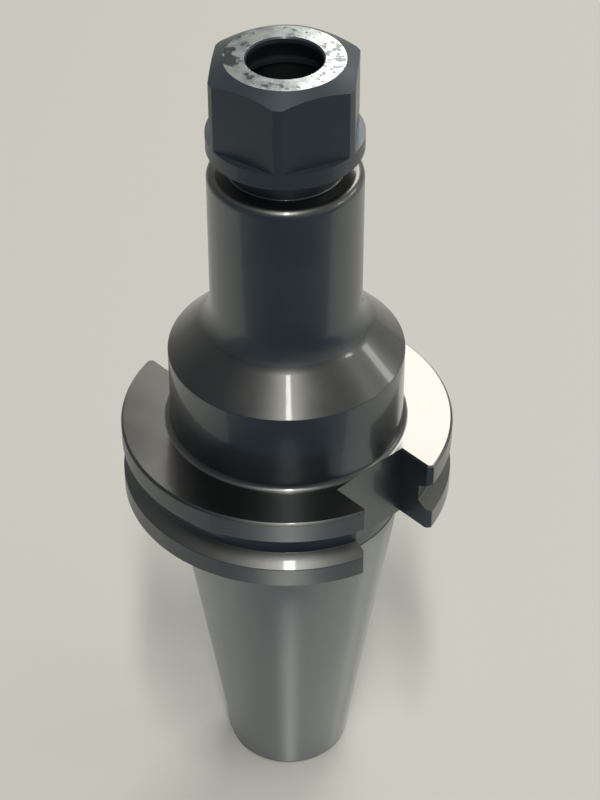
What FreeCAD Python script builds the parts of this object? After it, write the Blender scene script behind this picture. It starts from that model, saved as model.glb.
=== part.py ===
# Collet chuck holder: a 7:24 steep-taper holder with a V-flange, and its hexagonal clamping nut.
#
# Frame: millimetres, +Z up along the holder's axis, origin at the centre of the small end face, which the
# holder stands on. The two drive slots of the flange lie on +X and -X. The gauge line is where the taper
# reaches its gauge diameter.
import FreeCAD, Part

import os
import re

import Sketcher

# Driving sizes: alias, value and what it is. Lengths are in millimetres and angles in degrees.
SIZES = [
    # Taper shank
    ("gauge_dia", 44.45, "taper diameter at the gauge line"),
    ("taper_length", 68.25, "small end to gauge line"),
    ("taper_rate", 0.2916667, "7:24, diameter lost for each unit of length"),
    ("small_end_chamfer", 0.4, "edge break of the small end"),
    ("neck_relief", 0.1, "how far the neck above the gauge line lies under the gauge diameter, on radius"),
    # Flange
    ("flange_gap", 3.18, "gauge line to the flange's lower face"),
    ("flange_dia", 63.5, "flange diameter"),
    ("flange_thickness", 15.87, "lower face to upper face"),
    ("rim_chamfer", 0.45, "edge break of the flange's rims"),
    ("groove_offset", 11.1, "gauge line to the middle of the V-groove"),
    ("groove_width", 7.04, "V-groove width at the flange diameter"),
    ("groove_half_angle", 30.0, "half of the V-groove's included angle"),
    ("groove_floor_dia", 57.6, "diameter of the V-groove's floor"),
    ("slot_width", 16.4, "drive slot width"),
    ("slot_floor", 22.6, "axis to the floor of a drive slot"),
    ("slot_flare", 0.9, "chamfer where a drive slot meets the rim"),
    ("slot_count", 2, "drive slots round the flange"),
    ("slot_edge_break", 0.35, "chamfer along the upper and lower edges of the slot walls"),
    # Hub, shoulder and nose
    ("hub_dia", 44.45, "hub above the flange"),
    ("hub_height", 16.5, "flange's upper face to the shoulder's edge"),
    ("hub_fillet", 1.2, "fillet between flange and hub"),
    ("shoulder_angle", 45.0, "slope of the shoulder above the horizontal"),
    ("shoulder_fillet", 8.0, "fillet between shoulder and nose"),
    ("nose_dia", 28.1, "nose diameter"),
    ("nose_height", 39.55, "shoulder's edge to the nose's end face"),
    ("nose_edge_round", 1.5, "round of the nose's upper edge"),
    # Thread for the nut, cut at its pitch diameter
    ("thread_pitch_dia", 20.98, "pitch diameter of the holder's thread"),
    ("thread_end_height", 16.35, "nose's end face to the holder's end face"),
    ("thread_end_chamfer", 1.0, "chamfer at the start of the thread"),
    ("undercut_dia", 20.4, "thread undercut at the nose's end face"),
    ("undercut_width", 2.55, "length of the thread undercut"),
    # Collet socket and bores
    ("socket_mouth_dia", 17.0, "collet socket at the holder's end face"),
    ("socket_half_angle", 8.0, "half angle of the collet socket"),
    ("socket_depth", 20.0, "depth of the collet socket"),
    ("clearance_bore_dia", 11.8, "bore below the collet socket"),
    ("clearance_bore_depth", 8.0, "length of that bore"),
    ("stop_thread_dia", 8.5, "minor diameter of the stop screw's thread"),
    ("stop_thread_depth", 25.0, "length of the stop screw's thread"),
    ("coolant_bore_dia", 8.0, "bore through the holder"),
    ("stud_thread_dia", 13.5, "minor diameter of the pull stud's thread"),
    ("stud_thread_depth", 28.0, "length of the pull stud's thread"),
    ("stud_drill_slope", 31.0, "slope of the drilled end above that thread"),
    ("stud_pilot_dia", 16.3, "pilot for the pull stud"),
    ("stud_pilot_depth", 5.0, "depth of the pilot"),
    ("stud_pilot_chamfer", 0.5, "chamfer at the pilot's mouth"),
    # Clamping nut
    ("nut_height", 18.0, "lower face to upper face"),
    ("nut_lip_gap", 0.3, "holder's end face to the collet lip, nut screwed home"),
    ("nut_turned_dia", 28.0, "turned blank, seen at the collar and the corners"),
    ("nut_hex_width", 25.0, "hexagon across flats"),
    ("nut_collar_height", 3.5, "collar below the flats"),
    ("nut_turn_angle", 12.0, "angle from +X to a corner of the hexagon"),
    ("nut_foot_chamfer", 0.5, "edge break of the lower face"),
    ("nut_face_dia", 21.2, "flat ring on the upper face"),
    ("nut_top_slope", 28.0, "slope of the chamfer round the upper face"),
    ("nut_mouth_dia", 13.36, "mouth"),
    ("nut_mouth_chamfer", 0.3, "edge break of the mouth"),
    ("nut_mouth_depth", 1.1, "upper face to the clamping cone"),
    ("nut_cone_half_angle", 30.0, "half angle of the clamping cone"),
    ("nut_cone_dia", 17.0, "wide end of the clamping cone"),
    ("lip_recess_dia", 17.8, "recess between the clamping cone and the collet lip"),
    ("lip_depth", 4.9, "upper face to the collet lip"),
    ("lip_thickness", 0.8, "thickness of the collet lip"),
    ("lip_blank_dia", 15.0, "collet lip before its eccentric bore"),
    ("lip_bore_dia", 16.3, "eccentric bore of the collet lip"),
    ("lip_offset", 0.45, "offset of that bore from the axis"),
    ("nut_relief_dia", 22.4, "thread relief and entry diameter"),
    ("nut_relief_width", 1.5, "length of the thread relief"),
    ("thread_clearance", 0.05, "gap between the two threads, on radius"),
]

# Heights that several features share, each worked out from the driving sizes.
FLANGE_FOOT = "(taper_length + flange_gap)"
FLANGE_TOP = f"({FLANGE_FOOT} + flange_thickness)"
SHOULDER_EDGE = f"({FLANGE_TOP} + hub_height)"
SHOULDER_RISE = "((hub_dia - nose_dia) / 2 * tan(shoulder_angle))"
NOSE_END = f"({SHOULDER_EDGE} + nose_height)"
HOLDER_END = f"({NOSE_END} + thread_end_height)"
SOCKET_END = f"({HOLDER_END} - socket_depth)"
CLEARANCE_END = f"({SOCKET_END} - clearance_bore_depth)"
STOP_THREAD_END = f"({CLEARANCE_END} - stop_thread_depth)"
STUD_THREAD_END = "(stud_pilot_depth + stud_thread_depth)"
NUT_TOP = f"({HOLDER_END} + nut_lip_gap + lip_depth + lip_thickness)"

SHEET_NAME = "Sizes"
ALIAS = re.compile(r"\b[a-z]+(?:_[a-z]+)+\b")
TOUCH = 1e-4
OVERCUT = 2.0

doc = FreeCAD.newDocument("collet_chuck_holder")


def make_sheet():
    """Put the driving sizes in the sheet, one row each."""
    sheet = doc.addObject("Spreadsheet::Sheet", SHEET_NAME)
    for row, (alias, number, meaning) in enumerate(SIZES, start=1):
        sheet.set(f"A{row}", alias)
        sheet.set(f"B{row}", str(number))
        sheet.set(f"C{row}", meaning)
        sheet.setAlias(f"B{row}", alias)
    doc.recompute()
    return sheet


def bound(expression):
    """The expression with every size read from the sheet."""
    return ALIAS.sub(lambda match: f"{SHEET_NAME}.{match.group(0)}", expression)


def size(expression):
    """The value of an expression, as the sheet gives it now."""
    return float(SHEET.evalExpression(bound(expression)))


def origin_feature(body, role):
    """The plane or axis of the body's own origin that has this role."""
    return next(feature for feature in body.Origin.OriginFeatures if feature.Role == role)


def make_body(label):
    """A new body, named and labelled."""
    body = doc.addObject("PartDesign::Body", label)
    body.Label = label
    return body


def make_sketch(body, name, role, lift="0"):
    """A sketch on a plane of the body's origin, lifted along the plane's normal."""
    sketch = body.newObject("Sketcher::SketchObject", name)
    sketch.AttachmentSupport = [(origin_feature(body, role), "")]
    sketch.MapMode = "FlatFace"
    sketch.setExpression(".AttachmentOffset.Base.z", bound(lift))
    return sketch


def hold(sketch, kind, axis, point, expression):
    """Tie one coordinate of a point to the sheet, or put the point on the axis where it is zero."""
    if expression == "0":
        sketch.addConstraint(Sketcher.Constraint("PointOnObject", *point, axis))
        return
    number = sketch.addConstraint(Sketcher.Constraint(kind, -1, 1, *point, size(expression)))
    sketch.setExpression(f"Constraints[{number}]", bound(expression))


def draw_outline(sketch, corners):
    """A closed outline of straight lines whose corners are held by the sheet."""
    spots = [FreeCAD.Vector(size(across), size(up), 0) for across, up in corners]
    first = sketch.GeometryCount
    last = first + len(corners) - 1
    for start, end in zip(spots, spots[1:] + spots[:1]):
        sketch.addGeometry(Part.LineSegment(start, end), False)
    for line in range(first, last):
        sketch.addConstraint(Sketcher.Constraint("Coincident", line, 2, line + 1, 1))
    sketch.addConstraint(Sketcher.Constraint("Coincident", last, 2, first, 1))
    before = (None, None)
    for line, (across, up) in enumerate(corners, start=first):
        if across == before[0]:
            sketch.addConstraint(Sketcher.Constraint("Vertical", line - 1))
        else:
            hold(sketch, "DistanceX", -2, (line, 1), across)
        if up == before[1]:
            sketch.addConstraint(Sketcher.Constraint("Horizontal", line - 1))
        else:
            hold(sketch, "DistanceY", -1, (line, 1), up)
        before = (across, up)


def draw_circle(sketch, diameter, across="0"):
    """A circle centred on the sketch's level axis."""
    centre = FreeCAD.Vector(size(across), 0, 0)
    circle = sketch.addGeometry(Part.Circle(centre, FreeCAD.Vector(0, 0, 1), size(diameter) / 2), False)
    number = sketch.addConstraint(Sketcher.Constraint("Diameter", circle, size(diameter)))
    sketch.setExpression(f"Constraints[{number}]", bound(diameter))
    hold(sketch, "DistanceX", -2, (circle, 3), across)
    hold(sketch, "DistanceY", -1, (circle, 3), "0")


def turn(body, kind, name, sketch):
    """Revolve a sketch round the body's axis, as a solid or as a cut."""
    feature = body.newObject(kind, name)
    feature.Profile = sketch
    feature.ReferenceAxis = (sketch, ["V_Axis"])
    feature.Angle = 360
    doc.recompute()
    return feature


def round_edge(body, kind, name, where, amount):
    """Fillet or chamfer the circular edges at the given radius and height."""
    base = body.Tip
    radius, height = (size(expression) for expression in where)
    edges = []
    for number, edge in enumerate(base.Shape.Edges, start=1):
        curve = edge.Curve
        if not isinstance(curve, Part.Circle):
            continue
        if abs(curve.Radius - radius) < TOUCH and abs(curve.Center.z - height) < TOUCH:
            edges.append(f"Edge{number}")
    feature = body.newObject(kind, name)
    feature.Base = (base, edges)
    feature.setExpression("Radius" if kind == "PartDesign::Fillet" else "Size", bound(amount))
    doc.recompute()
    return feature


def cut(body, name, sketch, depth, reverse=False):
    """Pocket a sketch to a depth, and check that it takes material away."""
    volume = body.Tip.Shape.Volume
    feature = body.newObject("PartDesign::Pocket", name)
    feature.Profile = sketch
    feature.Reversed = reverse
    feature.setExpression("Length", bound(depth))
    doc.recompute()
    if feature.Shape.Volume > volume - TOUCH:
        raise RuntimeError(f"{name} cuts nothing")
    return feature


def break_slot_edges(body):
    """Chamfer the upper and lower edges of the drive slots' walls."""
    base = body.Tip
    heights = (size(FLANGE_FOOT), size(FLANGE_TOP))
    edges = []
    for number, edge in enumerate(base.Shape.Edges, start=1):
        box = edge.BoundBox
        level = any(abs(box.ZMin - height) < TOUCH and abs(box.ZMax - height) < TOUCH for height in heights)
        along_wall = abs(abs(box.YMin) - size("slot_width / 2")) < TOUCH and box.YLength < TOUCH
        if level and along_wall:
            edges.append(f"Edge{number}")
    feature = body.newObject("PartDesign::Chamfer", "slot_edge_chamfer")
    feature.Base = (base, edges)
    feature.setExpression("Size", bound("slot_edge_break"))
    doc.recompute()
    return feature


def build_holder_body():
    """The holder: turned outside and inside in one profile, then grooved, slotted and rounded."""
    body = make_body("holder_body")
    small_end = "(gauge_dia / 2 - taper_length * taper_rate / 2)"
    neck = "(gauge_dia / 2 - neck_relief)"
    drill_rise = "((stud_thread_dia - coolant_bore_dia) / 2 * tan(stud_drill_slope))"
    thread = "thread_pitch_dia / 2"
    undercut = "undercut_dia / 2"
    socket_floor = "(socket_mouth_dia / 2 - socket_depth * tan(socket_half_angle))"
    outside = [
        (f"{small_end} - small_end_chamfer", "0"),
        (f"{small_end} + small_end_chamfer * taper_rate / 2", "small_end_chamfer"),
        ("gauge_dia / 2", "taper_length"),
        (neck, "taper_length"),
        (neck, FLANGE_FOOT),
        ("flange_dia / 2 - rim_chamfer", FLANGE_FOOT),
        ("flange_dia / 2", f"{FLANGE_FOOT} + rim_chamfer"),
        ("flange_dia / 2", f"{FLANGE_TOP} - rim_chamfer"),
        ("flange_dia / 2 - rim_chamfer", FLANGE_TOP),
        ("hub_dia / 2", FLANGE_TOP),
        ("hub_dia / 2", SHOULDER_EDGE),
        ("nose_dia / 2", f"{SHOULDER_EDGE} + {SHOULDER_RISE}"),
        ("nose_dia / 2", NOSE_END),
        (undercut, NOSE_END),
        (undercut, f"{NOSE_END} + undercut_width"),
        (thread, f"{NOSE_END} + undercut_width + (thread_pitch_dia - undercut_dia) / 2"),
        (thread, f"{HOLDER_END} - thread_end_chamfer"),
        (f"{thread} - thread_end_chamfer", HOLDER_END),
    ]
    inside = [
        ("socket_mouth_dia / 2", HOLDER_END),
        (socket_floor, SOCKET_END),
        ("clearance_bore_dia / 2", SOCKET_END),
        ("clearance_bore_dia / 2", CLEARANCE_END),
        ("stop_thread_dia / 2", CLEARANCE_END),
        ("stop_thread_dia / 2", STOP_THREAD_END),
        ("coolant_bore_dia / 2", STOP_THREAD_END),
        ("coolant_bore_dia / 2", f"{STUD_THREAD_END} + {drill_rise}"),
        ("stud_thread_dia / 2", STUD_THREAD_END),
        ("stud_thread_dia / 2", "stud_pilot_depth"),
        ("stud_pilot_dia / 2", "stud_pilot_depth"),
        ("stud_pilot_dia / 2", "stud_pilot_chamfer"),
        ("stud_pilot_dia / 2 + stud_pilot_chamfer", "0"),
    ]
    profile = make_sketch(body, "holder_profile", "XZ_Plane")
    draw_outline(profile, outside + inside)
    turn(body, "PartDesign::Revolution", "holder_turning", profile)

    edges = [
        ("hub_root_fillet", ("hub_dia / 2", FLANGE_TOP), "hub_fillet"),
        ("shoulder_root_fillet", ("nose_dia / 2", f"{SHOULDER_EDGE} + {SHOULDER_RISE}"), "shoulder_fillet"),
        ("nose_rim_round", ("nose_dia / 2", NOSE_END), "nose_edge_round"),
    ]
    for name, where, amount in edges:
        round_edge(body, "PartDesign::Fillet", name, where, amount)

    groove_height = "(taper_length + groove_offset)"
    outer_half = f"(groove_width / 2 + {OVERCUT} * tan(groove_half_angle))"
    floor_half = "(groove_width / 2 - (flange_dia - groove_floor_dia) / 2 * tan(groove_half_angle))"
    groove = make_sketch(body, "groove_profile", "XZ_Plane")
    draw_outline(groove, [
        (f"flange_dia / 2 + {OVERCUT}", f"{groove_height} - {outer_half}"),
        (f"flange_dia / 2 + {OVERCUT}", f"{groove_height} + {outer_half}"),
        ("groove_floor_dia / 2", f"{groove_height} + {floor_half}"),
        ("groove_floor_dia / 2", f"{groove_height} - {floor_half}"),
    ])
    turn(body, "PartDesign::Groove", "gripper_groove", groove)

    flare_half = "(slot_width / 2 + slot_flare)"
    flare_start = f"(sqrt(flange_dia ^ 2 / 4 - {flare_half} ^ 2) - slot_flare)"
    wide_half = f"(slot_width / 2 + flange_dia / 2 + {OVERCUT} - {flare_start})"
    slot = make_sketch(body, "slot_outline", "XY_Plane", FLANGE_FOOT + f" - {OVERCUT}")
    draw_outline(slot, [
        ("slot_floor", "-slot_width / 2"),
        (flare_start, "-slot_width / 2"),
        (f"flange_dia / 2 + {OVERCUT}", f"-{wide_half}"),
        (f"flange_dia / 2 + {OVERCUT}", wide_half),
        (flare_start, "slot_width / 2"),
        ("slot_floor", "slot_width / 2"),
    ])
    drive_slot = cut(body, "drive_slot", slot, f"flange_thickness + 2 * {OVERCUT}", reverse=True)
    slots = body.newObject("PartDesign::PolarPattern", "drive_slots")
    slots.Originals = [drive_slot]
    slots.Axis = (origin_feature(body, "Z_Axis"), [""])
    slots.Angle = 360
    slots.setExpression("Occurrences", bound("slot_count"))
    body.Tip = slots
    doc.recompute()
    break_slot_edges(body)
    return body


def build_clamping_nut():
    """The nut: a turned blank with a hexagon milled above its collar and an eccentric collet lip."""
    body = make_body("clamping_nut")
    lip_foot = "(nut_height - lip_depth - lip_thickness)"
    cone_height = "(nut_cone_dia - nut_mouth_dia) / 2 / tan(nut_cone_half_angle)"
    cone_foot = f"(nut_height - nut_mouth_depth - {cone_height})"
    thread = "(thread_pitch_dia / 2 + thread_clearance)"
    entry = f"(nut_relief_dia / 2 - {thread})"
    profile = make_sketch(body, "nut_profile", "XZ_Plane")
    draw_outline(profile, [
        ("nut_relief_dia / 2", "0"),
        ("nut_turned_dia / 2 - nut_foot_chamfer", "0"),
        ("nut_turned_dia / 2", "nut_foot_chamfer"),
        ("nut_turned_dia / 2", "nut_height - (nut_turned_dia - nut_face_dia) / 2 * tan(nut_top_slope)"),
        ("nut_face_dia / 2", "nut_height"),
        ("nut_mouth_dia / 2 + nut_mouth_chamfer", "nut_height"),
        ("nut_mouth_dia / 2", "nut_height - nut_mouth_chamfer"),
        ("nut_mouth_dia / 2", "nut_height - nut_mouth_depth"),
        ("nut_cone_dia / 2", cone_foot),
        ("lip_recess_dia / 2", cone_foot),
        ("lip_recess_dia / 2", "nut_height - lip_depth"),
        ("lip_blank_dia / 2", "nut_height - lip_depth"),
        ("lip_blank_dia / 2", lip_foot),
        ("nut_relief_dia / 2", lip_foot),
        ("nut_relief_dia / 2", f"{lip_foot} - nut_relief_width"),
        (thread, f"{lip_foot} - nut_relief_width"),
        (thread, entry),
    ])
    turn(body, "PartDesign::Revolution", "nut_turning", profile)

    corner = "nut_hex_width / sqrt(3)"
    flats = make_sketch(body, "nut_flats", "XY_Plane", "nut_height")
    draw_outline(flats, [
        (corner, "0"),
        (f"{corner} / 2", "nut_hex_width / 2"),
        (f"-{corner} / 2", "nut_hex_width / 2"),
        (f"-{corner}", "0"),
        (f"-{corner} / 2", "-nut_hex_width / 2"),
        (f"{corner} / 2", "-nut_hex_width / 2"),
    ])
    draw_circle(flats, f"nut_turned_dia + {OVERCUT}")
    cut(body, "nut_hexagon", flats, "nut_height - nut_collar_height")

    lip = make_sketch(body, "lip_bore_outline", "XY_Plane", "nut_height - lip_depth")
    draw_circle(lip, "lip_bore_dia", "lip_offset")
    cut(body, "lip_bore", lip, "lip_thickness")

    body.setExpression(".Placement.Base.z", bound(f"{NUT_TOP} - nut_height"))
    body.setExpression(".Placement.Rotation.Angle", bound("nut_turn_angle"))
    doc.recompute()
    return body


def check(parts):
    """Stop if any feature failed or any piece is not one valid solid."""
    for item in doc.Objects:
        faults = {"Invalid", "Error"} & set(item.State)
        if faults:
            raise RuntimeError(f"{item.Name}: {item.getStatusString()}")
    for part in parts:
        if part.Shape.isNull() or not part.Shape.isValid() or len(part.Shape.Solids) != 1:
            raise RuntimeError(f"{part.Label} is not one valid solid")


def main():
    """Build both pieces, check them and write one file for each."""
    parts = [build_holder_body(), build_clamping_nut()]
    check(parts)
    os.makedirs("parts", exist_ok=True)
    for part in parts:
        part.Shape.exportStep(f"parts/{part.Label}.step")
        box = part.Shape.BoundBox
        print(f"{part.Label}: {part.Shape.Volume:.1f} mm3, z {box.ZMin:.2f} to {box.ZMax:.2f}")


SHEET = make_sheet()
main()
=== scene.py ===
"""Looks of the collet chuck holder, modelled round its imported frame.

The holder body and the clamping nut are turned from their own sections, milled with cutters and dressed
with the finishes of the real pieces: blackened turned steel, a ground taper and a bright ring on the nut.
All lengths in the classes are in millimetres and are brought to metres when a mesh is made.
"""

import logging
import math
from dataclasses import dataclass
from enum import Enum
from typing import Callable, Sequence

import bpy
from mathutils import Matrix, Vector


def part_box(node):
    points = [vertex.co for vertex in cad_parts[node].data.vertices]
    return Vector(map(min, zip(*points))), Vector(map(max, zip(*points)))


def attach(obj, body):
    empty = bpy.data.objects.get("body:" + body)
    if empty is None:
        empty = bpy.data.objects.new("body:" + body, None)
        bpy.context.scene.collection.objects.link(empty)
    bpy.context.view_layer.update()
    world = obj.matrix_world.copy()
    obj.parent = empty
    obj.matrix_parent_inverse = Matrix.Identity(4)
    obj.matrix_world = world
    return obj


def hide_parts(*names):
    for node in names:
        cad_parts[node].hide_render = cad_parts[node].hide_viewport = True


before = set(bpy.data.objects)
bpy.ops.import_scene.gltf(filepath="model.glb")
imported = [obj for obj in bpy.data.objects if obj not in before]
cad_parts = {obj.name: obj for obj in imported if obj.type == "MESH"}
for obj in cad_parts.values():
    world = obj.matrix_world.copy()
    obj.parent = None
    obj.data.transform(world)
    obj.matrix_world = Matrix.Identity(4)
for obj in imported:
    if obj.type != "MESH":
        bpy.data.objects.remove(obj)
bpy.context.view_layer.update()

MM = 0.001
WELD = 1e-7
FULL_TURN = 2 * math.pi
SIXTH_TURN = FULL_TURN / 6
UP = (0.0, 0.0, 1.0)

log = logging.getLogger("collet_chuck_holder")


# --------------------------------------------------------------------------------------------------
# Sections and shop tools


@dataclass(frozen=True)
class Corner:
    """One corner of a section: how far out, how high, and the radius that rounds it."""

    out: float
    up: float
    rounding: float = 0.0


@dataclass
class Section:
    """A closed outline of straight sides whose corners may be rounded."""

    corners: list[Corner]
    arc_step: float = 12.0

    def points(self) -> list[Vector]:
        """Give the outline's points, with each rounded corner as an arc.

        Returns:
            The points in order, in millimetres, in the XZ plane.
        """
        made: list[Vector] = []
        count = len(self.corners)
        for index, corner in enumerate(self.corners):
            here = Vector((corner.out, 0.0, corner.up))
            if corner.rounding <= 0.0:
                made.append(here)
                continue
            before = self.corners[index - 1]
            after = self.corners[(index + 1) % count]
            made += self._arc(here, before, after, corner.rounding)
        return made

    def _arc(self, here: Vector, before: Corner, after: Corner, radius: float) -> list[Vector]:
        """Give the arc that rounds one corner.

        Args:
            here: The corner.
            before: The corner before it.
            after: The corner after it.
            radius: The arc's radius.

        Returns:
            The arc's points, from the side before the corner to the side after it.
        """
        back = (Vector((before.out, 0.0, before.up)) - here).normalized()
        ahead = (Vector((after.out, 0.0, after.up)) - here).normalized()
        opening = back.angle(ahead)
        reach = radius / math.tan(opening / 2)
        centre = here + (back + ahead).normalized() * (radius / math.sin(opening / 2))
        start = here + back * reach - centre
        end = here + ahead * reach - centre
        turn = start.angle(end)
        steps = max(2, math.ceil(math.degrees(turn) / self.arc_step))
        bow = []
        for step in range(steps + 1):
            share = step / steps
            near = math.sin((1 - share) * turn) / math.sin(turn)
            far = math.sin(share * turn) / math.sin(turn)
            bow.append(centre + start * near + end * far)
        return bow


class Shop:
    """The modelling steps that the pieces share, each one done with Blender's own operators."""

    @staticmethod
    def clear_selection() -> None:
        """Leave object mode's selection empty."""
        if bpy.context.object is not None and bpy.context.object.mode != "OBJECT":
            bpy.ops.object.mode_set(mode="OBJECT")
        bpy.ops.object.select_all(action="DESELECT")

    @classmethod
    def take(cls, piece: bpy.types.Object) -> None:
        """Make a piece the only selected one and the active one."""
        cls.clear_selection()
        piece.select_set(True)
        bpy.context.view_layer.objects.active = piece

    @classmethod
    def trace(cls, name: str, points: Sequence[Vector]) -> bpy.types.Object:
        """Draw a closed line by extruding one vertex from point to point, and stay in edit mode.

        Args:
            name: The new piece's name.
            points: The line's points in millimetres.

        Returns:
            The new piece, in edit mode with all of it selected.
        """
        cls.clear_selection()
        bpy.ops.mesh.primitive_plane_add(size=MM)
        piece = bpy.context.object
        piece.name = name
        piece.data.name = name
        bpy.ops.object.mode_set(mode="EDIT")
        bpy.ops.mesh.select_all(action="SELECT")
        bpy.ops.mesh.merge(type="CENTER")
        bpy.ops.transform.translate(value=points[0] * MM)
        for here, there in zip(points, [*points[1:], points[0]]):
            bpy.ops.mesh.extrude_region_move(TRANSFORM_OT_translate={"value": (there - here) * MM})
        bpy.ops.mesh.select_all(action="SELECT")
        bpy.ops.mesh.remove_doubles(threshold=WELD)
        return piece

    @classmethod
    def turn(cls, name: str, section: Section, steps: int) -> bpy.types.Object:
        """Turn a section round the Z axis into a closed solid.

        Args:
            name: The new piece's name.
            section: The outline to turn.
            steps: How many faces go round.

        Returns:
            The turned piece, with its faces pointing outwards.
        """
        piece = cls.trace(name, section.points())
        bpy.ops.mesh.spin(steps=steps, angle=FULL_TURN, center=(0, 0, 0), axis=UP)
        cls.seal()
        bpy.ops.object.mode_set(mode="OBJECT")
        return piece

    @staticmethod
    def seal() -> None:
        """Weld doubled vertices and point every face outwards, in edit mode."""
        bpy.ops.mesh.select_all(action="SELECT")
        bpy.ops.mesh.remove_doubles(threshold=WELD)
        bpy.ops.mesh.normals_make_consistent(inside=False)

    @classmethod
    def apply(cls, piece: bpy.types.Object, modifier: bpy.types.Modifier) -> None:
        """Apply one modifier to a piece."""
        cls.take(piece)
        bpy.ops.object.modifier_apply(modifier=modifier.name)

    @classmethod
    def mill(cls, piece: bpy.types.Object, cutter: bpy.types.Object) -> None:
        """Cut a piece with a cutter, and throw the cutter away.

        Args:
            piece: The piece that is cut.
            cutter: The closed shape that cuts it.
        """
        modifier = piece.modifiers.new("mill", "BOOLEAN")
        modifier.operation = "DIFFERENCE"
        modifier.solver = "EXACT"
        modifier.object = cutter
        cls.apply(piece, modifier)
        bpy.data.objects.remove(cutter)

    @staticmethod
    def coat(piece: bpy.types.Object, finishes: type[Enum],
             pick: Callable[[bpy.types.MeshPolygon], Enum]) -> None:
        """Give a piece its finishes, face by face.

        Args:
            piece: The piece to coat.
            finishes: All the piece's finishes.
            pick: Says which of them a face has.
        """
        order = list(finishes)
        piece.data.materials.clear()
        for finish in order:
            piece.data.materials.append(finish.value.material())
        for face in piece.data.polygons:
            face.material_index = order.index(pick(face))

    @classmethod
    def finish_shading(cls, piece: bpy.types.Object, sharp_angle: float = 20.0) -> None:
        """Shade a piece smooth up to an angle, with flat faces kept flat.

        Args:
            piece: The piece to shade.
            sharp_angle: Edges that turn more than this many degrees stay crisp.
        """
        cls.take(piece)
        bpy.ops.object.shade_smooth_by_angle(angle=math.radians(sharp_angle))
        modifier = piece.modifiers.new("level_faces", "WEIGHTED_NORMAL")
        modifier.keep_sharp = True
        cls.apply(piece, modifier)


# --------------------------------------------------------------------------------------------------
# Finishes


# A mix node's colour sockets are found by number, because its other kinds have the same names.
MIX_COLOURS = (6, 7)
MIX_RESULT = 2

# How much of a face's normal points up, by the way the face lies.
LEVEL = 0.99
NEARLY_LEVEL = 0.9
SLOPING = 0.5
UPRIGHT = 0.1


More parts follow.
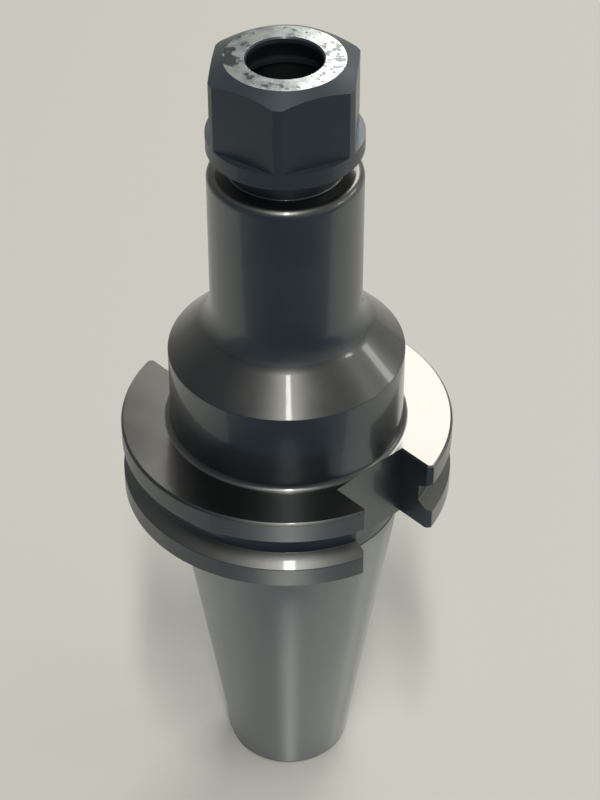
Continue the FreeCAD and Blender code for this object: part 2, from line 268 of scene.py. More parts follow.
class Recipe:
    """A material's node tree, with short calls for the nodes that the finishes use."""

    def __init__(self, name: str) -> None:
        """Start an empty material with a shader and its output.

        Args:
            name: The material's name.
        """
        self.material = bpy.data.materials.new(name)
        self.material.use_nodes = True
        self.tree = self.material.node_tree
        self.tree.nodes.clear()
        self.output = self.tree.nodes.new("ShaderNodeOutputMaterial")
        self.shader = self.tree.nodes.new("ShaderNodeBsdfPrincipled")
        self.link(self.shader.outputs["BSDF"], self.output.inputs["Surface"])
        self.coordinates = self.tree.nodes.new("ShaderNodeTexCoord").outputs["Object"]

    def link(self, source: bpy.types.NodeSocket, target: bpy.types.NodeSocket) -> None:
        """Join two sockets."""
        self.tree.links.new(source, target)

    def node(self, kind: str, **settings: object) -> bpy.types.Node:
        """Add a node and set its properties.

        Args:
            kind: The node's type.
            settings: Its properties by name.

        Returns:
            The new node.
        """
        made = self.tree.nodes.new(kind)
        for name, value in settings.items():
            setattr(made, name, value)
        return made

    def feed(self, socket: bpy.types.NodeSocket, value: object) -> None:
        """Link a socket to an input, or set the input to a plain value."""
        if isinstance(value, bpy.types.NodeSocket):
            self.link(value, socket)
        else:
            socket.default_value = value

    def math(self, operation: str, first: object, second: object) -> bpy.types.NodeSocket:
        """Work a sum on two sockets or numbers.

        Args:
            operation: The sum's name.
            first: A socket or a number.
            second: A socket or a number.

        Returns:
            The result's socket.
        """
        made = self.node("ShaderNodeMath", operation=operation)
        self.feed(made.inputs[0], first)
        self.feed(made.inputs[1], second)
        return made.outputs["Value"]

    def vector(self, operation: str, first: object, second: object) -> bpy.types.NodeSocket:
        """Work a sum on two vectors, each a socket or three numbers."""
        made = self.node("ShaderNodeVectorMath", operation=operation)
        self.feed(made.inputs[0], first)
        self.feed(made.inputs[1], second)
        return made.outputs["Value"] if operation == "LENGTH" else made.outputs["Vector"]

    def noise(self, scale: Sequence[float], detail: float, roughness: float = 0.5) -> bpy.types.NodeSocket:
        """Add a noise pattern on the piece's own coordinates.

        Args:
            scale: Waves for each metre along X, Y and Z.
            detail: How many finer layers it has.
            roughness: How strong those layers are.

        Returns:
            The pattern's value, about 0.5 on average.
        """
        stretched = self.vector("MULTIPLY", self.coordinates, tuple(scale))
        made = self.node("ShaderNodeTexNoise")
        made.inputs["Scale"].default_value = 1.0
        made.inputs["Detail"].default_value = detail
        made.inputs["Roughness"].default_value = roughness
        self.link(stretched, made.inputs["Vector"])
        return made.outputs["Fac"]

    def ramp(self, value: bpy.types.NodeSocket, low: float, high: float,
             low_out: float = 0.0, high_out: float = 1.0) -> bpy.types.NodeSocket:
        """Map a value's range to another, smoothly and clamped.

        Args:
            value: The socket to map.
            low: Where the range starts.
            high: Where it ends.
            low_out: What its start gives.
            high_out: What its end gives.

        Returns:
            The mapped value's socket.
        """
        made = self.node("ShaderNodeMapRange", interpolation_type="SMOOTHSTEP")
        self.link(value, made.inputs["Value"])
        limits = {"From Min": low, "From Max": high, "To Min": low_out, "To Max": high_out}
        for name, number in limits.items():
            made.inputs[name].default_value = number
        return made.outputs["Result"]

    def mix(self, share: bpy.types.NodeSocket, first: object, second: object) -> bpy.types.NodeSocket:
        """Mix two colours, each a socket or three numbers, by a share."""
        made = self.node("ShaderNodeMix", data_type="RGBA")
        self.link(share, made.inputs["Factor"])
        for number, value in zip(MIX_COLOURS, (first, second)):
            colour = value if isinstance(value, bpy.types.NodeSocket) else (*value, 1.0)
            self.feed(made.inputs[number], colour)
        return made.outputs[MIX_RESULT]

    def bump(self, height: bpy.types.NodeSocket, depth: float, strength: float = 1.0,
             under: bpy.types.NodeSocket | None = None) -> bpy.types.NodeSocket:
        """Turn a height pattern into a bent normal.

        Args:
            height: The pattern.
            depth: How deep its full range is, in millimetres.
            strength: How much of it is kept.
            under: The normal it is laid on.

        Returns:
            The bent normal's socket.
        """
        made = self.node("ShaderNodeBump")
        made.inputs["Strength"].default_value = strength
        made.inputs["Distance"].default_value = depth * MM
        self.link(height, made.inputs["Height"])
        if under is not None:
            self.link(under, made.inputs["Normal"])
        return made.outputs["Normal"]

    def spread_along_axis(self) -> None:
        """Point the shader's tangent along Z, because marks that run round Z spread light along it."""
        along = self.node("ShaderNodeCombineXYZ")
        along.inputs["Z"].default_value = 1.0
        self.link(along.outputs["Vector"], self.shader.inputs["Tangent"])

    def put(self, **values: object) -> None:
        """Set or link the shader's inputs, each named with underscores for spaces."""
        for name, value in values.items():
            self.feed(self.shader.inputs[name.replace("_", " ")], value)


@dataclass(frozen=True)
class BlackenedSteel:
    """Turned steel with a black oxide skin and a trace of oil."""

    name: str = "blackened_steel"
    tone: tuple[float, float, float] = (0.112, 0.126, 0.136)
    worn_tone: tuple[float, float, float] = (0.138, 0.148, 0.152)
    roughness: float = 0.40
    roughness_spread: float = 0.04
    oil: float = 0.50
    oil_roughness: float = 0.07
    metal: float = 1.0
    spread: float = 0.0
    turning_pitch: float = 0.16
    turning_depth: float = 0.003
    turning: float = 0.5
    side_scale: float = 3.0
    cloud_scale: float = 45.0
    tone_limits: tuple[float, float] = (0.35, 0.70)
    shine_limits: tuple[float, float] = (0.3, 0.7)
    grain_scale: float = 1100.0
    grain_depth: float = 0.006
    grain: float = 0.35

    def material(self) -> bpy.types.Material:
        """Make the finish.

        Returns:
            The material.
        """
        recipe = Recipe(self.name)
        clouds = recipe.noise((self.cloud_scale,) * 3, detail=4)
        specks = recipe.noise((self.grain_scale,) * 3, detail=2)
        rings = recipe.noise((self.side_scale, self.side_scale, 1 / (self.turning_pitch * MM)), detail=2)
        tone = recipe.mix(recipe.ramp(clouds, *self.tone_limits), self.tone, self.worn_tone)
        shine = recipe.ramp(clouds, *self.shine_limits, self.roughness - self.roughness_spread,
                            self.roughness + self.roughness_spread)
        skin = recipe.bump(specks, self.grain_depth, self.grain)
        recipe.put(Base_Color=tone, Metallic=self.metal, Roughness=shine, Coat_Weight=self.oil,
                   Coat_Roughness=self.oil_roughness,
                   Normal=recipe.bump(rings, self.turning_depth, self.turning, skin))
        if self.spread > 0.0:
            recipe.spread_along_axis()
            recipe.put(Anisotropic=self.spread)
        return recipe.material


@dataclass(frozen=True)
class GroundSteel:
    """Bare steel ground round the axis, with fine marks that spread light along it."""

    name: str = "ground_steel"
    tone: tuple[float, float, float] = (0.42, 0.44, 0.44)
    worn_tone: tuple[float, float, float] = (0.36, 0.385, 0.385)
    roughness: float = 0.36
    spread: float = 1.0
    mark_pitch: float = 0.10
    mark_depth: float = 0.002
    marking: float = 0.5
    side_scale: float = 6.0
    cloud_scale: tuple[float, float, float] = (30.0, 30.0, 12.0)
    tone_limits: tuple[float, float] = (0.35, 0.65)

    def material(self) -> bpy.types.Material:
        """Make the finish.

        Returns:
            The material.
        """
        recipe = Recipe(self.name)
        clouds = recipe.noise(self.cloud_scale, detail=3)
        marks = recipe.noise((self.side_scale, self.side_scale, 1 / (self.mark_pitch * MM)), detail=3)
        recipe.spread_along_axis()
        tone = recipe.mix(recipe.ramp(clouds, *self.tone_limits), self.tone, self.worn_tone)
        recipe.put(Base_Color=tone, Metallic=1.0, Roughness=self.roughness, Anisotropic=self.spread,
                   Normal=recipe.bump(marks, self.mark_depth, self.marking))
        return recipe.material


@dataclass(frozen=True)
class OiledRing:
    """The nut's bright ground face ring, smeared with oil that dries in dark patches and specks."""

    name: str = "oiled_ring"
    tone: tuple[float, float, float] = (0.27, 0.29, 0.29)
    smear_tone: tuple[float, float, float] = (0.16, 0.18, 0.19)
    metal: float = 0.75
    stain: tuple[float, float, float] = (0.030, 0.035, 0.040)
    roughness: float = 0.14
    oil: float = 0.3
    oil_roughness: float = 0.05
    stain_centre: tuple[float, float, float] = (-6.4, -7.0, 0.0)
    stain_size: float = 5.0
    stain_pull: float = 0.22
    stain_limits: tuple[float, float] = (0.60, 0.66)
    speck_centre: tuple[float, float, float] = (5.3, 6.2, 0.0)
    speck_size: float = 10.5
    speck_pull: float = 0.13
    speck_limits: tuple[float, float] = (0.61, 0.65)
    smear_limits: tuple[float, float] = (0.42, 0.62)
    smear_scale: float = 330.0
    speck_scale: float = 900.0
    ripple_scale: float = 420.0
    ripple_depth: float = 0.02
    rippling: float = 0.2

    def patch(self, recipe: Recipe, centre: tuple[float, float, float],
              size: float) -> bpy.types.NodeSocket:
        """Give a soft round patch, 1 at its centre and 0 past its size.

        Args:
            recipe: The material that is made.
            centre: The patch's centre on the face.
            size: The patch's radius.

        Returns:
            The patch's strength.
        """
        flat = recipe.vector("MULTIPLY", recipe.coordinates, (1, 1, 0))
        place = tuple(part * MM for part in centre)
        away = recipe.vector("LENGTH", recipe.vector("SUBTRACT", flat, place), (0, 0, 0))
        return recipe.ramp(away, 0.0, size * MM, 1.0, 0.0)

    def material(self) -> bpy.types.Material:
        """Make the finish.

        Returns:
            The material.
        """
        recipe = Recipe(self.name)
        smears = recipe.noise((self.smear_scale,) * 3, detail=4, roughness=0.6)
        specks = recipe.noise((self.speck_scale,) * 3, detail=4, roughness=0.6)
        ripples = recipe.noise((self.ripple_scale,) * 3, detail=3)
        blotch = recipe.math("ADD", smears, recipe.math("MULTIPLY", self.stain_pull, self.patch(
            recipe, self.stain_centre, self.stain_size)))
        spotted = recipe.math("ADD", specks, recipe.math("MULTIPLY", self.speck_pull, self.patch(
            recipe, self.speck_centre, self.speck_size)))
        dark = recipe.math("MAXIMUM", recipe.ramp(blotch, *self.stain_limits),
                           recipe.ramp(spotted, *self.speck_limits))
        film = recipe.mix(recipe.ramp(smears, *self.smear_limits), self.tone, self.smear_tone)
        recipe.put(Base_Color=recipe.mix(dark, film, self.stain), Metallic=self.metal,
                   Roughness=self.roughness, Coat_Weight=self.oil,
                   Coat_Roughness=self.oil_roughness,
                   Normal=recipe.bump(ripples, self.ripple_depth, self.rippling))
        return recipe.material


BLACK_SKIN = BlackenedSteel()
TURNED_RIM = BlackenedSteel(name="turned_rim", tone=(0.22, 0.235, 0.235), worn_tone=(0.28, 0.29, 0.28),
                            roughness=0.50, oil=0.25, spread=0.95)
# Copies of the blackened steel for faces that look up. Their tones are painted light, standing in for the
# warmer light these faces reflect; their roughness, grain and the flange face's heavier oil are the faces'
# real finish.
UPWARD_PAINTED_TONE = BlackenedSteel(name="upward_painted_tone", tone=(0.102, 0.106, 0.104),
                              worn_tone=(0.130, 0.130, 0.124), roughness=0.36, grain=0.6)
FLANGE_FACE = BlackenedSteel(name="flange_face", tone=(0.118, 0.119, 0.114),
                             worn_tone=(0.150, 0.146, 0.136), roughness=0.22, oil=0.6, grain=0.5)
NUT_SKIN = BlackenedSteel(name="blackened_nut_steel", tone=(0.038, 0.050, 0.062),
                          worn_tone=(0.046, 0.058, 0.070), roughness=0.42, metal=0.4, oil=0.22,
                          oil_roughness=0.12)


class HolderFinish(Enum):
    """The holder's finishes, each with the recipe that makes it."""

    SKIN = BLACK_SKIN
    GROUND = GroundSteel()
    RIM = TURNED_RIM
    TURNED_FACE = UPWARD_PAINTED_TONE
    FLANGE_FACE = FLANGE_FACE


class NutFinish(Enum):
    """The nut's finishes, each with the recipe that makes it."""

    SKIN = NUT_SKIN
    FACE_RING = OiledRing()


# --------------------------------------------------------------------------------------------------
# The holder and its nut


@dataclass
class HolderBody:
    """The holder: taper shank, V-flange, hub, shoulder, slim nose, thread and socket in one piece."""

    node: str = "holder_body"
    slot: str = "blackened_steel"
    steps: int = 240
    gauge_radius: float = 22.225
    gauge_height: float = 68.25
    taper_rate: float = 7 / 48
    end_break: float = 0.4
    neck_radius: float = 22.125
    flange_radius: float = 31.75
    flange_foot: float = 71.43
    flange_thickness: float = 15.87
    rim_chamfer: float = 0.45
    groove_height: float = 79.35
    groove_width: float = 7.04
    groove_floor: float = 28.8
    groove_half_angle: float = 30.0
    groove_edge: float = 0.2
    slot_width: float = 16.4
    slot_floor: float = 22.6
    slot_flare: float = 0.9
    slot_edge_break: float = 0.35
    hub_radius: float = 22.225
    hub_height: float = 16.5
    hub_fillet: float = 1.2
    shoulder_edge: float = 0.35
    shoulder_fillet: float = 8.0
    nose_radius: float = 14.05
    nose_height: float = 39.55
    nose_edge: float = 1.5
    undercut_radius: float = 10.2
    undercut_width: float = 2.55
    undercut_fillet: float = 0.4
    thread_radius: float = 10.49
    thread_chamfer: float = 1.0
    socket_radius: float = 8.5
    socket_depth: float = 20.0
    socket_half_angle: float = 8.0
    bore_radius: float = 5.9
    bore_depth: float = 28.0
    stop_thread_radius: float = 4.25
    stop_thread_depth: float = 53.0
    coolant_radius: float = 4.0
    stud_thread_radius: float = 6.75
    stud_thread_end: float = 33.0
    stud_drill_end: float = 34.65
    pilot_radius: float = 8.15
    pilot_depth: float = 5.0
    pilot_chamfer: float = 0.5
    cutter_room: float = 2.0
    rim_slack: float = 0.05
    face_slack: float = 0.1
    crisp: float = 0.08

    @property
    def flange_top(self) -> float:
        """Height of the flange's upper face."""
        return self.flange_foot + self.flange_thickness

    @property
    def shoulder_foot(self) -> float:
        """Height of the hub's upper edge."""
        return self.flange_top + self.hub_height

    @property
    def nose_end(self) -> float:
        """Height of the nose's end face."""
        return self.shoulder_foot + self.nose_height

    def outer_corners(self) -> list[Corner]:
        """Give the outside of the section, from the small end up to the holder's end face.

        Returns:
            The corners in order.
        """
        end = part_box(self.node)[1].z / MM
        small = self.gauge_radius - self.gauge_height * self.taper_rate
        flank = math.tan(math.radians(self.groove_half_angle))
        half = self.groove_width / 2
        floor_half = half - (self.flange_radius - self.groove_floor) * flank
        rim = self.flange_radius - self.rim_chamfer
        shoulder_rise = self.hub_radius - self.nose_radius
        lead = self.thread_radius - self.undercut_radius
        undercut_end = self.nose_end + self.undercut_width
        return [
            Corner(small - self.end_break, 0.0),
            Corner(small + self.end_break * self.taper_rate, self.end_break, self.crisp),
            Corner(self.gauge_radius, self.gauge_height, self.crisp / 4),
            Corner(self.neck_radius, self.gauge_height),
            Corner(self.neck_radius, self.flange_foot),
            Corner(rim, self.flange_foot, self.crisp),
            Corner(self.flange_radius, self.flange_foot + self.rim_chamfer, self.crisp),
            Corner(self.flange_radius, self.groove_height - half, self.groove_edge),
            Corner(self.groove_floor, self.groove_height - floor_half, self.groove_edge),
            Corner(self.groove_floor, self.groove_height + floor_half, self.groove_edge),
            Corner(self.flange_radius, self.groove_height + half, self.groove_edge),
            Corner(self.flange_radius, self.flange_top - self.rim_chamfer, self.crisp),
            Corner(rim, self.flange_top, self.crisp),
            Corner(self.hub_radius, self.flange_top, self.hub_fillet),
            Corner(self.hub_radius, self.shoulder_foot, self.shoulder_edge),
            Corner(self.nose_radius, self.shoulder_foot + shoulder_rise, self.shoulder_fillet),
            Corner(self.nose_radius, self.nose_end, self.nose_edge),
            Corner(self.undercut_radius, self.nose_end, self.undercut_fillet),
            Corner(self.undercut_radius, undercut_end),
            Corner(self.thread_radius, undercut_end + lead),
            Corner(self.thread_radius, end - self.thread_chamfer),
            Corner(self.thread_radius - self.thread_chamfer, end, self.crisp),
        ]

    def inner_corners(self) -> list[Corner]:
        """Give the inside of the section, from the collet socket down to the pull stud's pilot.

        Returns:
            The corners in order.
        """
        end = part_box(self.node)[1].z / MM
        narrowing = self.socket_depth * math.tan(math.radians(self.socket_half_angle))
        return [
            Corner(self.socket_radius, end, self.crisp),
            Corner(self.socket_radius - narrowing, end - self.socket_depth),
            Corner(self.bore_radius, end - self.socket_depth),
            Corner(self.bore_radius, end - self.bore_depth),
            Corner(self.stop_thread_radius, end - self.bore_depth),
            Corner(self.stop_thread_radius, end - self.stop_thread_depth),
            Corner(self.coolant_radius, end - self.stop_thread_depth),
            Corner(self.coolant_radius, self.stud_drill_end),
            Corner(self.stud_thread_radius, self.stud_thread_end),
            Corner(self.stud_thread_radius, self.pilot_depth),
            Corner(self.pilot_radius, self.pilot_depth),
            Corner(self.pilot_radius, self.pilot_chamfer),
            Corner(self.pilot_radius + self.pilot_chamfer, 0.0, self.crisp),
        ]

    def slot_cutter(self) -> bpy.types.Object:
        """Make the cutter of the drive slot on +X, flared at the rim and wider past both faces.

        Returns:
            The cutter.
        """
        past = self.cutter_room
        half = self.slot_width / 2
        flare_half = half + self.slot_flare
        flare_start = math.sqrt(self.flange_radius ** 2 - flare_half ** 2) - self.slot_flare
        outer = self.flange_radius + past
        wide_half = half + outer - flare_start
        spots = [(self.slot_floor, -half), (flare_start, -half), (outer, -wide_half),
                 (outer, wide_half), (flare_start, half), (self.slot_floor, half)]
        foot = self.flange_foot - past
        cutter = Shop.trace("slot_cutter", [Vector((x, y, foot)) for x, y in spots])
        bpy.ops.mesh.edge_face_add()
        wide = (half + self.slot_edge_break + past) / half
        bpy.ops.transform.resize(value=(1, wide, 1))
        stages = [(past + self.slot_edge_break, 1 / wide),
                  (self.flange_thickness - 2 * self.slot_edge_break, 1.0),
                  (past + self.slot_edge_break, wide)]
        for rise, widening in stages:
            bpy.ops.mesh.extrude_region_move(TRANSFORM_OT_translate={"value": (0, 0, rise * MM)})
            bpy.ops.transform.resize(value=(1, widening, 1))
        Shop.seal()
        bpy.ops.object.mode_set(mode="OBJECT")
        return cutter

    def build(self) -> bpy.types.Object:
        """Turn the holder and mill its two drive slots.

        Returns:
            The finished piece.
        """
        body = Shop.turn("holder", Section(self.outer_corners() + self.inner_corners()), self.steps)
        for number in range(2):
            cutter = self.slot_cutter()
            cutter.data.transform(Matrix.Rotation(number * math.pi, 4, "Z"))
            Shop.mill(body, cutter)
        Shop.finish_shading(body)
        return body

    def finish_of(self, face: bpy.types.MeshPolygon) -> HolderFinish:
        """Say which finish a face has, from its place and the way it looks.

        Args:
            face: A face of the finished piece.

        Returns:
            The face's finish.
        """
        middle = face.center / MM
        out = math.hypot(middle.x, middle.y)
        small = self.gauge_radius - self.gauge_height * self.taper_rate - self.end_break - self.crisp
        below_flange = middle.z < self.gauge_height + self.crisp
        if out > small and below_flange and abs(face.normal.z) < NEARLY_LEVEL:
            return HolderFinish.GROUND
        if out > self.flange_radius - self.rim_slack and abs(face.normal.z) < UPRIGHT:
            return HolderFinish.RIM
        # Level and up-facing faces get tones of painted light.
        if face.normal.z > LEVEL and abs(middle.z - self.flange_top) < self.face_slack:
            return HolderFinish.FLANGE_FACE
        if face.normal.z > SLOPING and middle.z > self.flange_foot:
            return HolderFinish.TURNED_FACE
        return HolderFinish.SKIN

    def dress(self, body: bpy.types.Object) -> None:
        """Give the holder its finishes and set it on its frame.

        Args:
            body: The finished piece.
        """
        Shop.coat(body, HolderFinish, self.finish_of)
        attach(body, "holder")
        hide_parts(self.node)


@dataclass
class ClampingNut:
    """The clamping nut: turned blank, six milled flats, clamping cone and eccentric collet lip."""

    node: str = "clamping_nut"
    slot: str = "nut_steel"
    steps: int = 240
    turned_radius: float = 14.0
    hex_half: float = 12.5
    corner_angle: float = 12.0
    collar_height: float = 3.5
    foot_chamfer: float = 0.5
    face_radius: float = 10.6
    top_slope: float = 28.0
    mouth_radius: float = 6.68
    mouth_chamfer: float = 0.3
    mouth_depth: float = 1.1
    cone_radius: float = 8.5
    cone_half_angle: float = 30.0
    recess_radius: float = 8.9
    lip_radius: float = 7.5
    lip_bore: float = 8.15
    lip_offset: float = 0.45
    lip_top: float = 4.9
    lip_foot: float = 5.7
    relief_radius: float = 11.2
    relief_foot: float = 7.2
    thread_radius: float = 10.54
    cutter_reach: float = 4.0
    cutter_room: float = 0.15
    face_slack: float = 0.02
    crisp: float = 0.06

    def __post_init__(self) -> None:
        """Take the heights of the lower and upper face from the frame."""
        low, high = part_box(self.node)
        self.foot = low.z / MM
        self.top = high.z / MM

    def corners(self) -> list[Corner]:
        """Give the nut's section.

        Returns:
            The corners in order, outside first.
        """
        foot, top = self.foot, self.top
        shoulder = top - (self.turned_radius - self.face_radius) * math.tan(math.radians(self.top_slope))
        cone_rise = (self.cone_radius - self.mouth_radius) / math.tan(math.radians(self.cone_half_angle))
        cone_foot = top - self.mouth_depth - cone_rise
        return [
            Corner(self.relief_radius, foot),
            Corner(self.turned_radius - self.foot_chamfer, foot, self.crisp),
            Corner(self.turned_radius, foot + self.foot_chamfer, self.crisp),
            Corner(self.turned_radius, shoulder),
            Corner(self.face_radius, top, self.crisp),
            Corner(self.mouth_radius + self.mouth_chamfer, top, self.crisp),
            Corner(self.mouth_radius, top - self.mouth_chamfer, self.crisp),
            Corner(self.mouth_radius, top - self.mouth_depth, self.crisp),
            Corner(self.cone_radius, cone_foot),
            Corner(self.recess_radius, cone_foot),
            Corner(self.recess_radius, top - self.lip_top),
            Corner(self.lip_radius, top - self.lip_top),
            Corner(self.lip_radius, top - self.lip_foot),
            Corner(self.relief_radius, top - self.lip_foot),
            Corner(self.relief_radius, top - self.relief_foot),
            Corner(self.thread_radius, top - self.relief_foot),
            Corner(self.thread_radius, foot + self.relief_radius - self.thread_radius),
        ]

    def flat_cutter(self) -> bpy.types.Object:
        """Make the cutter of all six flats: one slab, copied round the axis.

        Returns:
            The cutter.
        """
        reach = self.cutter_reach
        low = self.foot + self.collar_height
        tall = self.top - low + reach / 2
        half_width = self.hex_half * math.tan(SIXTH_TURN / 2) - self.cutter_room
        Shop.clear_selection()
        bpy.ops.mesh.primitive_cube_add(size=MM, location=(0, 0, 0))
        cutter = bpy.context.object
        bpy.ops.object.mode_set(mode="EDIT")
        bpy.ops.mesh.select_all(action="SELECT")
        bpy.ops.transform.resize(value=(reach, 2 * half_width, tall))
        bpy.ops.transform.translate(value=Vector((self.hex_half + reach / 2, 0, low + tall / 2)) * MM)
        bpy.ops.mesh.spin(steps=5, dupli=True, angle=5 * SIXTH_TURN, center=(0, 0, 0), axis=UP)
        bpy.ops.mesh.select_all(action="SELECT")
        turn = math.radians(self.corner_angle) + SIXTH_TURN / 2
        bpy.ops.transform.rotate(value=-turn, orient_axis="Z", center_override=(0, 0, 0))
        bpy.ops.object.mode_set(mode="OBJECT")
        return cutter

    def lip_cutter(self) -> bpy.types.Object:
        """Make the eccentric cutter of the collet lip's bore, a little thicker than the lip.

        Returns:
            The cutter.
        """
        turn = math.radians(self.corner_angle)
        place = Vector((math.cos(turn), math.sin(turn), 0)) * self.lip_offset
        place.z = self.top - (self.lip_top + self.lip_foot) / 2
        thickness = self.lip_foot - self.lip_top + 2 * self.cutter_room
        Shop.clear_selection()
        bpy.ops.mesh.primitive_cylinder_add(vertices=self.steps // 2, radius=self.lip_bore * MM,
                                            depth=thickness * MM, location=place * MM)
        cutter = bpy.context.object
        bpy.ops.object.transform_apply(location=True, rotation=True, scale=True)
        return cutter

    def build(self) -> bpy.types.Object:
        """Turn the nut, mill its flats and bore its lip.

        Returns:
            The finished piece.
        """
        nut = Shop.turn("nut", Section(self.corners()), self.steps)
        Shop.mill(nut, self.flat_cutter())
        Shop.mill(nut, self.lip_cutter())
        Shop.finish_shading(nut)
        return nut

    def finish_of(self, face: bpy.types.MeshPolygon) -> NutFinish:
        """Say which finish a face has: only the flat upper face is bright."""
        flat_top = face.center.z / MM > self.top - self.face_slack and face.normal.z > NEARLY_LEVEL
        return NutFinish.FACE_RING if flat_top else NutFinish.SKIN

    def dress(self, nut: bpy.types.Object) -> None:
        """Give the nut its finishes and set it on its frame.

        Args:
            nut: The finished piece.
        """
        Shop.coat(nut, NutFinish, self.finish_of)
        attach(nut, "nut")
        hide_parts(self.node)


# --------------------------------------------------------------------------------------------------
# Stage, light and camera


@dataclass(frozen=True)
class Lamp:
    """A soft area lamp, aimed at a point on the holder.

    Bearings are turned from the viewer's side of the holder: 0 is towards the viewer, 90 to the right.
    """

    name: str
    bearing: float
    height_angle: float
    distance: float
    width: float
    length: float
    power: float
    colour: tuple[float, float, float] = (1.0, 0.97, 0.91)


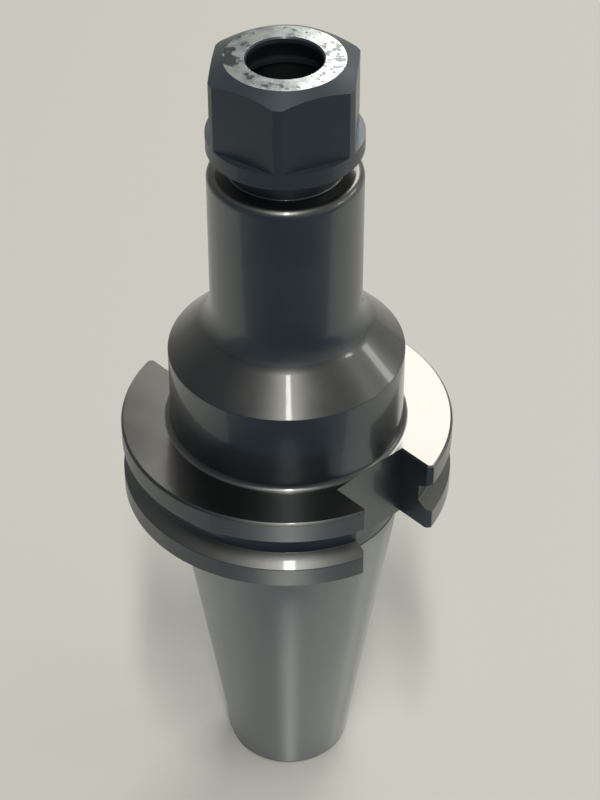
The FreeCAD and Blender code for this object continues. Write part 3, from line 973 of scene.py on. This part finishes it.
@dataclass
class Stage:
    """The pale floor, the lamps, the dim room and the camera."""

    viewer_bearing: float = -42.8
    target: tuple[float, float, float] = (0.0, 0.0, 90.0)
    camera_place: tuple[float, float, float] = (240.24, -222.46, 364.37)
    camera_heading: float = 46.761
    camera_tilt: float = 39.947
    camera_roll: float = -0.075
    lens: float = 100.73
    clip: tuple[float, float] = (10.0, 50000.0)
    floor_tone: tuple[float, float, float] = (0.60, 0.595, 0.56)
    floor_size: float = 8000.0
    flag_start: float = 78.0
    flag_turn: float = 0.0
    flag_lift: float = 0.5
    # Glow of the dark sheet in front: a painted reflection of shade, seen only in reflections.
    painted_reflection_tone: tuple[float, float, float] = (0.125, 0.16, 0.20)
    dim_room: tuple[float, float, float] = (0.10, 0.12, 0.14)
    bright_room: tuple[float, float, float] = (0.50, 0.495, 0.465)
    bright_bearing: float = 135.0
    room_span: float = 0.8
    lamps: tuple[Lamp, ...] = (
        Lamp("strip_overhead", 2.0, 64.0, 1500, 100, 800, 12.5),
        Lamp("window_behind", 160.6, 40.5, 1800, 1000, 600, 12.5),
        Lamp("lamp_right", 110.0, 22.0, 1300, 260, 170, 0.9),
        Lamp("small_lamp_right", 83.0, 25.0, 1300, 190, 110, 0.8),
    )

    def direction(self, bearing: float, height_angle: float) -> Vector:
        """Turn a bearing from the viewer's side and a height angle into a direction.

        Args:
            bearing: Degrees from the viewer's side towards the right.
            height_angle: Degrees above the floor.

        Returns:
            The unit vector that points from the holder to there.
        """
        turn = math.radians(self.viewer_bearing + bearing)
        rise = math.radians(height_angle)
        return Vector((math.cos(turn) * math.cos(rise), math.sin(turn) * math.cos(rise), math.sin(rise)))

    def lay_floor(self) -> None:
        """Lay the plain pale floor."""
        Shop.clear_selection()
        bpy.ops.mesh.primitive_plane_add(size=self.floor_size * MM)
        floor = bpy.context.object
        floor.name = "floor"
        recipe = Recipe("pale_floor")
        recipe.put(Base_Color=(*self.floor_tone, 1.0), Roughness=0.75, Specular_IOR_Level=0.2)
        floor.data.materials.append(recipe.material)

    def lay_flag(self) -> None:
        """Lay a glowing dark sheet in front of the holder, which only its reflections show: a painted
        reflection of the shaded space on the viewer's side.
        """
        half = self.floor_size / 4
        ahead = self.direction(self.flag_turn, 0.0)
        Shop.clear_selection()
        bpy.ops.mesh.primitive_plane_add(size=2 * half * MM)
        flag = bpy.context.object
        flag.name = "dark_reflection_sheet"
        flag.location = ahead * (self.flag_start + half) * MM + Vector((0, 0, self.flag_lift * MM))
        flag.rotation_euler.z = math.atan2(ahead.y, ahead.x)
        for sight in ("visible_camera", "visible_diffuse", "visible_transmission", "visible_shadow"):
            setattr(flag, sight, False)
        # A dark glow, not a lamp: a painted reflection of the shaded space in front.
        recipe = Recipe("painted_reflection_glow")
        recipe.put(Base_Color=(0, 0, 0, 1), Roughness=1.0, Specular_IOR_Level=0.0,
                   Emission_Color=(*self.painted_reflection_tone, 1.0), Emission_Strength=1.0)
        flag.data.materials.append(recipe.material)

    def hang_lamps(self) -> None:
        """Hang each lamp in its place and aim it at the holder."""
        target = Vector(self.target) * MM
        for lamp in self.lamps:
            aim = self.direction(lamp.bearing, lamp.height_angle)
            light = bpy.data.lights.new(lamp.name, "AREA")
            light.shape = "RECTANGLE"
            light.size = lamp.width * MM
            light.size_y = lamp.length * MM
            light.energy = lamp.power
            light.color = lamp.colour
            holder = bpy.data.objects.new(lamp.name, light)
            bpy.context.collection.objects.link(holder)
            holder.location = target + aim * lamp.distance * MM
            holder.rotation_mode = "QUATERNION"
            holder.rotation_quaternion = aim.to_track_quat("Z", "Y")

    def light_room(self) -> None:
        """Fill the room with even light that is dimmer on the viewer's left."""
        world = bpy.data.worlds.new("room")
        world.use_nodes = True
        nodes, links = world.node_tree.nodes, world.node_tree.links
        facing = nodes.new("ShaderNodeVectorMath")
        facing.operation = "DOT_PRODUCT"
        facing.inputs[1].default_value = self.direction(self.bright_bearing, 0.0)
        links.new(nodes.new("ShaderNodeTexCoord").outputs["Generated"], facing.inputs[0])
        share = nodes.new("ShaderNodeMapRange")
        share.inputs["From Min"].default_value = -self.room_span
        share.inputs["From Max"].default_value = self.room_span
        links.new(facing.outputs["Value"], share.inputs["Value"])
        tones = nodes.new("ShaderNodeMix")
        tones.data_type = "RGBA"
        for number, tone in zip(MIX_COLOURS, (self.dim_room, self.bright_room)):
            tones.inputs[number].default_value = (*tone, 1.0)
        links.new(share.outputs["Result"], tones.inputs["Factor"])
        links.new(tones.outputs[MIX_RESULT], nodes["Background"].inputs["Color"])
        bpy.context.scene.world = world

    def set_camera(self) -> None:
        """Set the camera at the viewer's place."""
        camera = bpy.data.objects.new("camera", bpy.data.cameras.new("camera"))
        bpy.context.collection.objects.link(camera)
        camera.data.lens = self.lens
        camera.data.clip_start = self.clip[0] * MM
        camera.data.clip_end = self.clip[1] * MM
        heading = Matrix.Rotation(math.radians(self.camera_heading), 4, "Z")
        tilt = Matrix.Rotation(math.radians(90 - self.camera_tilt), 4, "X")
        roll = Matrix.Rotation(math.radians(self.camera_roll), 4, "Z")
        place = Matrix.Translation(Vector(self.camera_place) * MM)
        camera.matrix_world = place @ heading @ tilt @ roll
        bpy.context.scene.camera = camera

    def build(self) -> None:
        """Build the whole stage."""
        self.lay_floor()
        self.lay_flag()
        self.hang_lamps()
        self.light_room()
        self.set_camera()
        bpy.context.scene.view_settings.view_transform = "Standard"


def main() -> None:
    """Build and dress every piece, set the stage and log each piece's face count."""
    logging.basicConfig(level=logging.INFO, format="%(name)s: %(message)s")
    for maker in (HolderBody(), ClampingNut()):
        piece = maker.build()
        maker.dress(piece)
        log.info("%s has %d faces", piece.name, len(piece.data.polygons))
    Stage().build()


if __name__ == "__main__":
    main()
